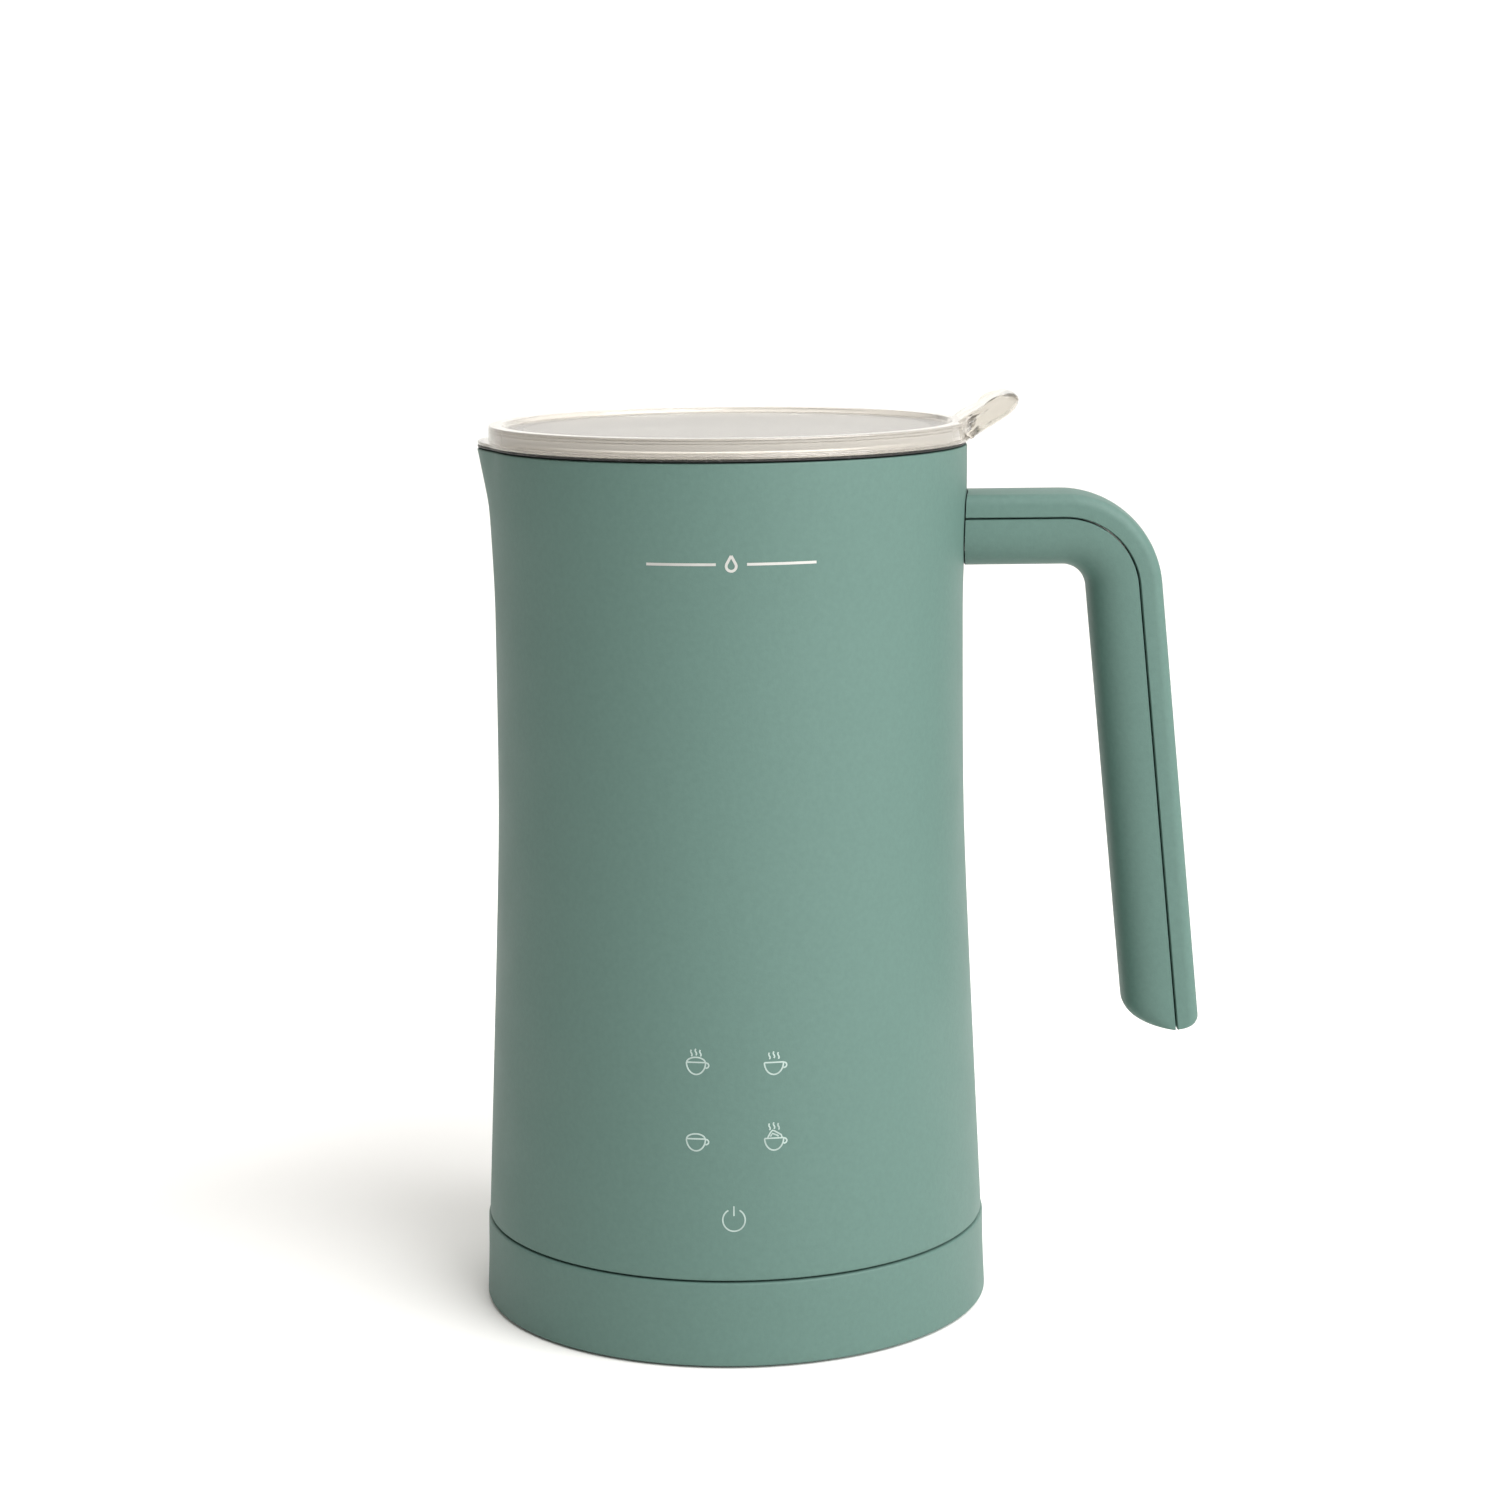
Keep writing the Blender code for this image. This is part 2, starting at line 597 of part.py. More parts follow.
def turn_into_metres():
    for piece in bpy.data.objects:
        piece.data.transform(Matrix.Scale(MM, 4))


def main():
    clear_scene()
    base_shell()
    base_plate()
    base_fittings()
    base_connector()
    outer_shell()
    inner_pot()
    pivot_pin()
    bottom_cover()
    jug_socket()
    chassis()
    electronics()
    heater()
    motor()
    magnet_rotor()
    whisk()
    lid_cover()
    lid_seal()
    handle()
    turn_into_metres()


main()
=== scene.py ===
import math

import bmesh
import bpy
from mathutils import Matrix, Vector


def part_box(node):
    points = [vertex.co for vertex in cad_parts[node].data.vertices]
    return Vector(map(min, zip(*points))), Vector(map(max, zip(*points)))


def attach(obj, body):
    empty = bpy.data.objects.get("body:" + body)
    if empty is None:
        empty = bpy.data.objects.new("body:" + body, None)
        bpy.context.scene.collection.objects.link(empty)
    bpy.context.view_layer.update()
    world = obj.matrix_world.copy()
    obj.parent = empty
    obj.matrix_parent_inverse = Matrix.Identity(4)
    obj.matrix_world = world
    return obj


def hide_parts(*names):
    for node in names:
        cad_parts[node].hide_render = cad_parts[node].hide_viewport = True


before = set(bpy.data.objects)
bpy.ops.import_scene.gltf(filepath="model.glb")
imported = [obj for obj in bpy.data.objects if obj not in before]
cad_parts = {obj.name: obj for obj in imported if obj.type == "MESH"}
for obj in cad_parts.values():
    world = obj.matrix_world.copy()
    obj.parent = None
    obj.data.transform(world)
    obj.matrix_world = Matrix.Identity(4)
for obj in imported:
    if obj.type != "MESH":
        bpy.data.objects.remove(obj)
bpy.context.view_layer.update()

# ---------------------------------------------------------------- sizes (mm, as in the CAD)

MM = 0.001
GAP = 0.3                       # clearance between parts that fit together

shell_low, shell_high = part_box("outer_shell")
base_low, base_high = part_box("base_shell")
JUG_BOTTOM = shell_low[2] / MM
JUG_TOP = shell_high[2] / MM
BASE_BOTTOM = base_low[2] / MM
BASE_TOP = base_high[2] / MM
BASE_R = 54.5
FOOT_PITCH_R = 43.0
BASE_SCREW_PITCH_R = 30.0
COVER_SCREW_PITCH_R = 46.5
CORD_Z = 9.0

JUG_WALL = 2.0
WAIST_R = 50.05                 # smallest outer radius, about two thirds up
SKIRT_SLOPE = 0.0465            # widening per millimetre towards the foot
SKIRT_START = 107.0
SKIRT_BLEND = 15.0
FLARE = 0.9                     # widening towards the rim
FLARE_LOW = 150.0
FLARE_HIGH = 182.0
SPOUT_ROOT = 168.0              # the spout fades in above this height
SPOUT_FADE = 5.0
SPOUT_START = 174.3             # and leans out from about this one
SPOUT_SLOPE = 0.19
SPOUT_BLEND = 2.0
SPOUT_HALF_ANGLE = math.radians(18)

POT_FLOOR = 80.0
POT_WALL = 0.8
POT_FLANGE_TOP = 186.65
LID_BOTTOM = 186.95
LID_TOP = 191.0
LID_DISC_R = 50.75
LID_RIM_R = 47.4                # where the raised rim meets the panel
LID_SPOUT_SHARE = 0.65          # how much of the spout the lid's flange follows
TAB_HALF_WIDTH = 9.0

HANDLE_HALF_WIDTH = 9.5
HANDLE_ARM_Z = 170.5
HANDLE_BEND_X = 71.2
HANDLE_BEND_R = 16.0
HANDLE_LEAN = math.radians(5.3)
HANDLE_GRIP = 97.4
HANDLE_OUT = 5.46               # just under the CAD's, as this finer bend reaches further out
HANDLE_IN = 10.35
HANDLE_SEAM = 0.35

WHISK_Z = 86.5
WHISK_COIL_R = 15.0
WHISK_COIL_TUBE_R = 2.7
WHISK_WIRE_R = 0.42
PRINT_LIFT = 0.045              # how far a print stands off the shell's face
PRINT_THICK = 0.09
ROUND_SIDES = 192


def soft_ramp(distance, blend):
    """Zero below 0 and equal to the distance above it, with a rounded start."""
    return (math.sqrt(distance * distance + blend * blend) + distance) / 2


def smooth(value):
    """From 0 to 1 with a soft start and end."""
    value = min(1.0, max(0.0, value))
    return value * value * (3 - 2 * value)


def jug_radius(z):
    """Outer radius of the jug: flared skirt, waist and a slight flare at the rim."""
    skirt = SKIRT_SLOPE * soft_ramp(SKIRT_START - z, SKIRT_BLEND)
    return WAIST_R + skirt + FLARE * smooth((z - FLARE_LOW) / (FLARE_HIGH - FLARE_LOW))


def spout_reach(z, angle):
    """How far the narrow spout on the -X side stands out at this height and angle."""
    from_spout = abs(math.pi - angle % (2 * math.pi)) / SPOUT_HALF_ANGLE
    if from_spout >= 1:
        return 0.0
    start = smooth((z - SPOUT_ROOT) / SPOUT_FADE)
    out = SPOUT_SLOPE * soft_ramp(z - SPOUT_START, SPOUT_BLEND)
    return start * out * (1 - from_spout ** 2) ** 2


# ---------------------------------------------------------------- mesh helpers

def add_mesh(name, verts, faces, look, body, stands_for=(), crease=35):
    """A named piece from points in millimetres, faces outwards, riding on its body."""
    mesh = bpy.data.meshes.new(name)
    mesh.from_pydata([(x * MM, y * MM, z * MM) for x, y, z in verts], [], faces)
    bm = bmesh.new()
    bm.from_mesh(mesh)
    bmesh.ops.recalc_face_normals(bm, faces=bm.faces)
    bm.to_mesh(mesh)
    bm.free()
    mesh.materials.append(look)
    mesh.shade_smooth()
    mesh.set_sharp_from_angle(angle=math.radians(crease))
    piece = bpy.data.objects.new(name, mesh)
    bpy.context.scene.collection.objects.link(piece)
    if body:
        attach(piece, body)
    if stands_for:
        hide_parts(*stands_for)
    return piece


def rounded(points, steps=5):
    """Round the corners of a (radius, z, corner) profile; a corner of 0 stays sharp."""
    outline = []
    for index, (r, z, corner) in enumerate(points):
        if not corner:
            outline.append((r, z))
            continue
        here = Vector((r, z))
        before = Vector(points[index - 1][:2]) - here
        after = Vector(points[(index + 1) % len(points)][:2]) - here
        start = here + before.normalized() * min(corner, before.length * 0.49)
        end = here + after.normalized() * min(corner, after.length * 0.49)
        for step in range(steps + 1):
            t = step / steps
            outline.append(tuple(start * (1 - t) ** 2 + here * 2 * t * (1 - t) + end * t * t))
    return outline


def turned_mesh(profile, sides=ROUND_SIDES, centre=(0, 0), reach=None):
    """Points and faces of a (radius, z) profile spun about a vertical axis."""
    verts, rings, faces = [], [], []
    for radius, z in profile:
        first = len(verts)
        count = 1 if radius < 1e-6 else sides
        for step in range(count):
            angle = 2 * math.pi * step / sides
            r = radius + (reach(radius, z, angle) if reach and count > 1 else 0)
            verts.append((centre[0] + r * math.cos(angle), centre[1] + r * math.sin(angle), z))
        rings.append((first, count))
    closed = profile[0][0] > 1e-6
    pairs = zip(rings, rings[1:] + rings[:1]) if closed else zip(rings, rings[1:])
    for (low, low_count), (high, high_count) in pairs:
        for step in range(sides):
            after = (step + 1) % sides
            corners = [low + step % low_count, low + after % low_count,
                       high + after % high_count, high + step % high_count]
            faces.append(list(dict.fromkeys(corners)))
    return verts, faces


def turned(name, profile, look, body, stands_for=(), sides=ROUND_SIDES, centre=(0, 0),
           reach=None, crease=35):
    verts, faces = turned_mesh(profile, sides, centre, reach)
    return add_mesh(name, verts, faces, look, body, stands_for, crease)


def skin_faces(rows, size, capped=True):
    """Faces that bridge a number of equal closed outlines, with both ends closed if asked."""
    faces = []
    for row in range(rows - 1):
        for step in range(size):
            after = (step + 1) % size
            near, far = row * size, (row + 1) * size
            faces.append((near + step, near + after, far + after, far + step))
    if capped:
        faces.append(tuple(range(size)))
        faces.append(tuple((rows - 1) * size + step for step in range(size)))
    return faces


def combine(piece, tool, operation):
    """Apply one Boolean and drop the tool."""
    modifier = piece.modifiers.new(operation, "BOOLEAN")
    modifier.operation = operation
    modifier.object = tool
    modifier.solver = "EXACT"
    bpy.context.view_layer.update()
    graph = bpy.context.evaluated_depsgraph_get()
    result = bpy.data.meshes.new_from_object(piece.evaluated_get(graph))
    piece.modifiers.clear()
    piece.data = result
    bpy.data.objects.remove(tool)


def closed_tube(points, radius, sides):
    """Points and faces of a round tube along a closed loop of points."""
    verts = []
    count = len(points)
    for index, point in enumerate(points):
        before = points[index - 1]
        after = points[(index + 1) % count]
        along = (Vector(after) - Vector(before)).normalized()
        aside = along.cross(Vector((0, 0, 1))).normalized()
        over = along.cross(aside)
        for step in range(sides):
            angle = 2 * math.pi * step / sides
            spot = Vector(point) + aside * radius * math.cos(angle) + over * radius * math.sin(angle)
            verts.append(tuple(spot))
    faces = skin_faces(count, sides, capped=False)
    last = (count - 1) * sides
    for step in range(sides):
        after = (step + 1) % sides
        faces.append((last + step, last + after, after, step))
    return verts, faces


def drill(piece, profile, place):
    """Cut a vertical hole with this (radius, z) profile."""
    combine(piece, turned("drill", profile, dark, None, sides=48, centre=place),
            "DIFFERENCE")
    piece.data.set_sharp_from_angle(angle=math.radians(35))


def side_turned(name, profile, height, look, sides=48, body=None, stands_for=()):
    """A (radius, distance) profile spun about the level line along Y at this height."""
    verts, faces = turned_mesh(profile, sides)
    verts = [(y, z, x + height) for x, y, z in verts]
    return add_mesh(name, verts, faces, look, body, stands_for)


def around(count, radius, start_degrees):
    """Numbers and centres evenly spaced on a circle."""
    for step in range(count):
        angle = math.radians(start_degrees) + 2 * math.pi * step / count
        yield step + 1, (radius * math.cos(angle), radius * math.sin(angle))


# ---------------------------------------------------------------- materials

def srgb(red, green, blue):
    """Linear colour from display values of 0 to 255."""
    return tuple(((c / 255 + 0.055) / 1.055) ** 2.4 for c in (red, green, blue)) + (1.0,)


class Look:
    """A Principled material with a few procedural layers."""

    def __init__(self, name, colour, roughness, metallic=0.0, **sockets):
        self.made = bpy.data.materials.new(name)
        self.made.use_nodes = True
        self.tree = self.made.node_tree
        self.shader = self.tree.nodes["Principled BSDF"]
        self.colour = colour
        self.shader.inputs["Base Color"].default_value = colour
        self.shader.inputs["Roughness"].default_value = roughness
        self.shader.inputs["Metallic"].default_value = metallic
        for socket, value in sockets.items():
            self.shader.inputs[socket.replace("_", " ")].default_value = value
        self.place = self.tree.nodes.new("ShaderNodeTexCoord")
        self.bump = None

    def noise(self, scale, detail=3.0, stretch=None):
        """Noise over the piece, in features per metre, stretched along an axis if asked."""
        source = self.place.outputs["Object"]
        if stretch:
            mapping = self.tree.nodes.new("ShaderNodeMapping")
            mapping.inputs["Scale"].default_value = stretch
            self.tree.links.new(source, mapping.inputs["Vector"])
            source = mapping.outputs["Vector"]
        texture = self.tree.nodes.new("ShaderNodeTexNoise")
        texture.inputs["Scale"].default_value = scale
        texture.inputs["Detail"].default_value = detail
        self.tree.links.new(source, texture.inputs["Vector"])
        return texture.outputs["Fac"]

    def from_axis(self):
        """Distance from the jug's axis, in metres."""
        flat = self.tree.nodes.new("ShaderNodeMapping")
        flat.inputs["Scale"].default_value = (1, 1, 0)
        self.tree.links.new(self.place.outputs["Object"], flat.inputs["Vector"])
        length = self.tree.nodes.new("ShaderNodeVectorMath")
        length.operation = "LENGTH"
        self.tree.links.new(flat.outputs["Vector"], length.inputs[0])
        return length.outputs["Value"]

    def math(self, operation, source, second=0.0):
        node = self.tree.nodes.new("ShaderNodeMath")
        node.operation = operation
        node.inputs[1].default_value = second
        self.tree.links.new(source, node.inputs[0])
        return node.outputs["Value"]

    def map_range(self, source, low, high, start=0.3, end=0.7):
        node = self.tree.nodes.new("ShaderNodeMapRange")
        node.inputs["From Min"].default_value = start
        node.inputs["From Max"].default_value = end
        node.inputs["To Min"].default_value = low
        node.inputs["To Max"].default_value = high
        self.tree.links.new(source, node.inputs["Value"])
        return node.outputs["Result"]

    def vary_colour(self, source, other):
        """Mix the base colour with another where the source is high."""
        mix = self.tree.nodes.new("ShaderNodeMix")
        mix.data_type = "RGBA"
        mix.inputs["A"].default_value = self.colour
        mix.inputs["B"].default_value = other
        self.tree.links.new(source, mix.inputs["Factor"])
        self.tree.links.new(mix.outputs["Result"], self.shader.inputs["Base Color"])

    def vary_roughness(self, source, low, high):
        self.tree.links.new(self.map_range(source, low, high), self.shader.inputs["Roughness"])

    def add_bump(self, source, height, strength=1.0):
        """Raise the surface by a source of 0 to 1 times this height in metres."""
        bump = self.tree.nodes.new("ShaderNodeBump")
        bump.inputs["Strength"].default_value = strength
        bump.inputs["Distance"].default_value = height
        self.tree.links.new(source, bump.inputs["Height"])
        if self.bump:
            self.tree.links.new(self.bump.outputs["Normal"], bump.inputs["Normal"])
        self.tree.links.new(bump.outputs["Normal"], self.shader.inputs["Normal"])
        self.bump = bump


def lacquer(name, colour):
    """Satin grey-green lacquer with a fine grain and faint unevenness."""
    look = Look(name, srgb(*colour), 0.52, Specular_IOR_Level=0.3)
    darker = srgb(*[c * 0.965 for c in colour])
    look.vary_colour(look.map_range(look.noise(900.0, 4.0), 0.0, 1.0), darker)
    look.vary_roughness(look.noise(70.0), 0.50, 0.57)
    look.add_bump(look.noise(2600.0, 2.0), 0.00003)
    look.add_bump(look.noise(9.0, 1.0), 0.0002, 0.2)
    return look.made


def moulded(name, colour, roughness=0.5, grain=0.00004):
    """Moulded plastic or rubber with an eroded grain."""
    look = Look(name, srgb(*colour), roughness, Specular_IOR_Level=0.4)
    lighter = srgb(*[min(255, c * 1.12 + 3) for c in colour])
    look.vary_colour(look.map_range(look.noise(300.0), 0.0, 1.0), lighter)
    look.vary_roughness(look.noise(400.0), roughness - 0.06, roughness + 0.08)
    look.add_bump(look.noise(1600.0, 2.0), grain)
    return look.made


def metal(name, colour, roughness, stretch=None, scale=500.0):
    """Metal with fine turning or brushing marks."""
    look = Look(name, srgb(*colour), roughness, 1.0)
    darker = srgb(*[c * 0.9 for c in colour])
    look.vary_colour(look.map_range(look.noise(120.0), 0.0, 0.6), darker)
    marks = look.noise(scale, 3.0, stretch)
    look.vary_roughness(marks, roughness - 0.06, roughness + 0.10)
    look.add_bump(marks, 0.00002)
    return look.made


def coated_pot():
    """Dark non-stick coating with fine pale flecks."""
    look = Look("pot_coating", srgb(44, 46, 46), 0.40, Specular_IOR_Level=0.4)
    flecks = look.map_range(look.noise(1300.0, 1.0), 0.0, 0.8, 0.66, 0.72)
    look.vary_colour(flecks, srgb(104, 104, 106))
    look.vary_roughness(look.noise(250.0), 0.36, 0.48)
    look.add_bump(look.noise(700.0, 3.0), 0.00004)
    return look.made


def clear_lid():
    """Clear plastic with a warm tint: milkier in the thick rim, finely frosted in the panel, with
    painted shade on the thumb tab.
    """
    look = Look("clear_plastic", srgb(235, 230, 221), 0.2, IOR=1.49)
    out = look.from_axis()
    rim_middle = 0.0493
    from_rim = look.math("ABSOLUTE", look.math("SUBTRACT", out, rim_middle))
    clear = look.map_range(from_rim, 0.66, 0.96, 0.0018, 0.0026)
    look.tree.links.new(clear, look.shader.inputs["Transmission Weight"])
    frost = look.map_range(out, 0.25, 0.10, 0.0468, 0.0478)
    look.tree.links.new(frost, look.shader.inputs["Roughness"])
    # painted shade: the thumb tab gets a darker tint of the same plastic so that it renders dimmer
    tab_painted_shade = look.map_range(out, 0.0, 1.0, 0.0515, 0.0530)
    look.vary_colour(tab_painted_shade, srgb(210, 205, 195))
    look.add_bump(look.noise(35.0, 1.0), 0.0001, 0.15)
    return look.made


def board():
    """Circuit board: solder mask over a pattern of tracks."""
    look = Look("board", srgb(28, 92, 52), 0.35)
    tracks = look.map_range(look.noise(420.0, 0.0, (1, 6, 6)), 0.0, 1.0, 0.52, 0.54)
    look.vary_colour(tracks, srgb(46, 124, 72))
    look.vary_roughness(look.noise(200.0), 0.3, 0.42)
    look.add_bump(tracks, 0.00003)
    return look.made


GREEN = (88, 116, 108)
green = lacquer("green_lacquer", GREEN)
handle_green = lacquer("green_handle", GREEN)
pot_look = coated_pot()
lid_look = clear_lid()
dark = moulded("dark_plastic", (44, 47, 47))
seal_look = moulded("silicone", (150, 152, 148), 0.55, 0.00002)
foot_look = moulded("foot_rubber", (40, 40, 40), 0.75, 0.00006)
steel = metal("steel", (196, 196, 194), 0.26)
brushed = metal("brushed_steel", (190, 190, 188), 0.30, (1, 1, 12), 260.0)
brass = metal("brass", (205, 168, 98), 0.26)
cast = metal("aluminium", (188, 190, 192), 0.42)
magnet = metal("magnet", (150, 150, 152), 0.22)
board_look = board()
print_look = moulded("symbol_print", (150, 166, 161), 0.5, 0.00001)
silver_look = metal("silver_print", (205, 205, 202), 0.34, None, 900.0)


# ---------------------------------------------------------------- power base

def make_base():
    r = BASE_R
    top, low = BASE_TOP, BASE_BOTTOM
    profile = rounded([
        (r - 2.0, low, 0), (r + 0.5, low, 0.5), (r + 0.3, 5.0, 2), (r + 0.1, 10.0, 2),
        (r, top, 0.55), (46.0, top, 0.6), (45.2, top - 0.5, 0.6), (20.6, top - 0.5, 0.5),
        (20.0, top, 0.5), (18.5, top, 0.5), (18.5, top - 2.0, 0), (r - 3.0, top - 2.0, 0.8),
        (r - 2.0, top - 3.0, 0.8)])
    shell = turned("base_ring", profile, green, "base", ["base_shell"])
    outlet = side_turned("outlet", [(0, 45), (4.2, 45), (4.2, 65), (0, 65)], CORD_Z, green)
    combine(shell, outlet, "DIFFERENCE")
    plate = turned("underside", rounded([
        (0, 0.5, 0), (20.0, 0.5, 0), (20.0, 0.9, 0.2), (20.8, 0.9, 0.2), (20.8, 0.5, 0.2),
        (50.0, 0.5, 0.2), (50.0, 0.9, 0.2), (50.8, 0.9, 0.2), (50.8, 0.5, 0.2),
        (52.2, 0.5, 0.5), (52.2, 3.2, 0.3), (0, 3.2, 0)]), dark, "base",
        ["base_plate"], sides=128)
    for number, place in around(4, FOOT_PITCH_R, 45):
        drill(plate, [(0, -1), (6.2, -1), (6.2, 0.5), (5.8, 0.8), (5.8, 2.2), (0, 2.2)], place)
    for number, place in around(3, BASE_SCREW_PITCH_R, 90):
        drill(plate, [(0, -1), (3.6, -1), (3.6, 1.9), (2.0, 1.9), (2.0, 5.0), (0, 5.0)], place)


def make_base_fittings():
    for number, place in around(4, FOOT_PITCH_R, 45):
        turned(f"rubber_foot_{number}", rounded([
            (0, 0.25, 0), (2.6, 0.25, 0.2), (3.0, 0, 0.3), (5.5, 0, 0.6), (5.5, 1.9, 0.2),
            (0, 1.9, 0)]), foot_look, "base", [f"foot_{number}"], 64, place)
    turned("tower", rounded([
        (0, 3.5, 0), (17.5, 3.5, 0.3), (17.5, 6.0, 0.5), (12.0, 6.0, 0.8), (12.0, 29.0, 0.8),
        (8.5, 29.0, 0.8), (8.5, 6.0, 0.5), (0, 6.0, 0)]), dark, "base",
        ["connector_tower"], 96)
    turned("centre_contact", rounded([(0, 6.3, 0), (1.6, 6.3, 0), (1.6, 27.0, 0.9), (0, 27.0, 0)]),
           brass, "base", ["contact_pin"], 48)
    turned("ring_contact", rounded([(5.2, 6.3, 0), (6.4, 6.3, 0), (6.4, 24.0, 0.4),
                                    (5.2, 24.0, 0.4)]), brass, "base", ["contact_ring"], 64)
    side_turned("cord_outlet", rounded([
        (2.4, 50, 0), (3.9, 50, 0.2), (3.9, 55.4, 0.1), (5.2, 55.4, 0.2), (5.2, 56.7, 0.7),
        (2.4, 56.7, 0.8)]), CORD_Z, dark, 64, "base", ["cord_gland"])


# ---------------------------------------------------------------- jug

def make_shell():
    steps = 72
    heights = [JUG_BOTTOM + 0.9 + (JUG_TOP - JUG_BOTTOM - 1.6) * i / steps for i in range(steps + 1)]
    outside = [(jug_radius(z), z) for z in heights]
    inside = [(r - JUG_WALL, z) for r, z in outside[::6]]
    low_r, top_r = jug_radius(JUG_BOTTOM), jug_radius(JUG_TOP)
    foot = rounded([(low_r - JUG_WALL, JUG_BOTTOM, 0), (low_r - 0.05, JUG_BOTTOM, 0.35),
                    (low_r - 0.02, JUG_BOTTOM + 0.9, 0)])[:-1]
    rim = rounded([(top_r, JUG_TOP - 0.7, 0), (top_r, JUG_TOP, 0.5), (top_r - 2, JUG_TOP, 0.4),
                   (top_r - 2, JUG_TOP - 1.2, 0)])[1:-1]
    turned("jug_shell", foot + outside + rim + inside[::-1], green, "jug",
           ["outer_shell"], reach=lambda r, z, angle: spout_reach(z, angle))


def make_pot():
    floor, wall = POT_FLOOR, POT_WALL
    side = [(44.5, 92.0), (44.5, 130.0), (44.5, 158.0), (44.5, 164.5), (44.9, 168.5), (45.6, 171.5),
            (46.5, 174.0), (47.4, 176.5), (48.1, 179.0), (48.4, 181.5), (48.4, 183.5), (48.45, 184.9)]
    bowl = []
    for step in range(9):
        angle = math.pi / 2 * step / 8
        bowl.append((38.5 + 6.0 * math.sin(angle), floor - wall + 6.8 * (1 - math.cos(angle))))
    outer = bowl + side
    inner = [(max(r - wall, 0.0), z) for r, z in outer[9:]][::-1]
    for step in range(8, -1, -1):
        angle = math.pi / 2 * step / 8
        inner.append((38.5 + 5.2 * math.sin(angle), floor + 6.0 * (1 - math.cos(angle))))
    top = POT_FLANGE_TOP
    flange = rounded([(48.5, top - 0.9, 0), (48.7, top - 0.3, 0.2), (50.8, top - 0.3, 0.12),
                      (50.8, top, 0.12), (48.2, top, 0.5), (47.6, top - 0.9, 0)])
    profile = [(0, floor - wall)] + outer + flange + inner + [(0, floor)]
    turned("milk_pot", profile, pot_look, "jug", ["inner_pot"],
           reach=lambda r, z, angle: spout_reach(z, angle), crease=40)
    turned("whisk_pivot", rounded([(0, 80.3, 0), (4.0, 80.3, 0.2), (4.0, 81.1, 0.3), (1.5, 81.1, 0.2),
                                   (1.5, 86.0, 0.7), (0, 86.0, 0)]), steel, "jug",
           ["pivot_pin"], 48)


def make_jug_underside():
    low = JUG_BOTTOM + GAP
    cover = turned("jug_underside", rounded([
        (17.0, low, 0.3), (39.0, low, 0.3), (39.0, low + 0.5, 0.3), (40.2, low + 0.5, 0.3),
        (40.2, low, 0.3), (51.3, low, 0.4), (51.3, low + 2.2, 0.2), (17.0, low + 2.2, 0.2)]),
        dark, "jug", ["bottom_cover"], 128)
    for number, place in around(3, COVER_SCREW_PITCH_R, 90):
        drill(cover, [(0, 15), (3.6, 15), (3.6, low + 1.2), (2.0, low + 1.2), (2.0, 25), (0, 25)],
              place)
    low = JUG_BOTTOM + 0.5
    turned("socket", rounded([
        (0, 28.0, 0), (2.0, 28.0, 0), (2.0, low, 0.3), (4.9, low, 0.3), (4.9, 25.0, 0), (6.7, 25.0, 0),
        (6.7, low, 0.3), (8.2, low, 0.4), (8.2, 29.6, 0), (12.3, 29.6, 0), (12.3, low, 0.5),
        (16.5, low, 0.4), (16.5, 34.0, 0.4), (0, 34.0, 0)]), dark, "jug",
        ["jug_socket"], 96)


# ---------------------------------------------------------------- lid

def lid_tab():
    """The thumb tab: side outline with a rounded tip, pulled in towards its corners."""
    side = [(48.2, 189.7), (48.2, 190.75), (49.6, 191.9), (51.0, 192.75), (54.5, 194.6),
            (57.6, 196.15), (58.9, 196.65), (59.9, 196.85), (60.8, 196.65), (61.45, 196.1),
            (61.75, 195.4), (61.6, 194.4), (60.9, 193.2), (59.9, 192.2), (58.0, 191.0),
            (55.6, 189.6), (53.6, 188.45), (52.6, 187.85), (51.9, 187.4), (51.2, 187.3),
            (50.2, 188.4), (49.6, 189.3)]
    rows = []
    steps = 24
    for step in range(steps + 1):
        y = TAB_HALF_WIDTH * math.sin(math.pi / 2 * (2 * step / steps - 1))
        edge = abs(y) / TAB_HALF_WIDTH
        pulled = 3.4 * edge ** 6
        thin = 0.55 * edge ** 10
        for x, z in side:
            middle = 191.0 + (x - 51.0) * 0.52
            shrink = 1 - thin * smooth((x - 51.5) / 2)
            rows.append((x - pulled * smooth((x - 51) / 9), y, middle + (z - middle) * shrink))
    return add_mesh("tab", rows, skin_faces(steps + 1, len(side)), lid_look, None)


def groove(radius, z):
    """A fine groove round the lid's edge, seen going up."""
    return [(radius, z - 0.13, 0), (radius - 0.2, z - 0.05, 0), (radius - 0.2, z + 0.05, 0),
            (radius, z + 0.13, 0)]


def make_lid():
    low, top, edge = LID_BOTTOM, LID_TOP, LID_DISC_R

    def flange_reach(radius, z, angle):
        on_flange = min(1.0, max(0.0, (radius - edge - 0.05) / 0.4))
        return LID_SPOUT_SHARE * on_flange * spout_reach(z, angle)

    side = groove(edge, top - 1.15) + groove(edge - 0.04, top - 0.5)
    profile = rounded([
        (0, 188.0, 0), (43.8, 188.0, 1.2), (43.8, 179.4, 0.6), (45.6, 179.4, 0.6),
        (45.6, low, 0.4), (51.5, low, 0.2), (51.5, 187.6, 0.25), (edge, 187.65, 0.15)] + side + [
        (edge - 0.05, top - 0.3, 0), (edge - 0.15, top, 0.3), (LID_RIM_R + 0.5, top, 0.35),
        (LID_RIM_R, 190.0, 0.4), (0, 190.0, 0)])
    cover = turned("lid", profile, lid_look, "lid", ["lid_cover"],
                   reach=flange_reach)
    combine(cover, lid_tab(), "UNION")
    lips = [(45.9, 180.4, 0.2)]
    for lip in (180.4, 183.2):
        lips += [(46.7, lip, 0.2), (47.2, lip + 1.0, 0.3), (46.7, lip + 1.6, 0.2)]
    turned("seal_ring", rounded(lips + [(45.9, 184.8, 0.2)]), seal_look, "lid",
           ["lid_seal"])


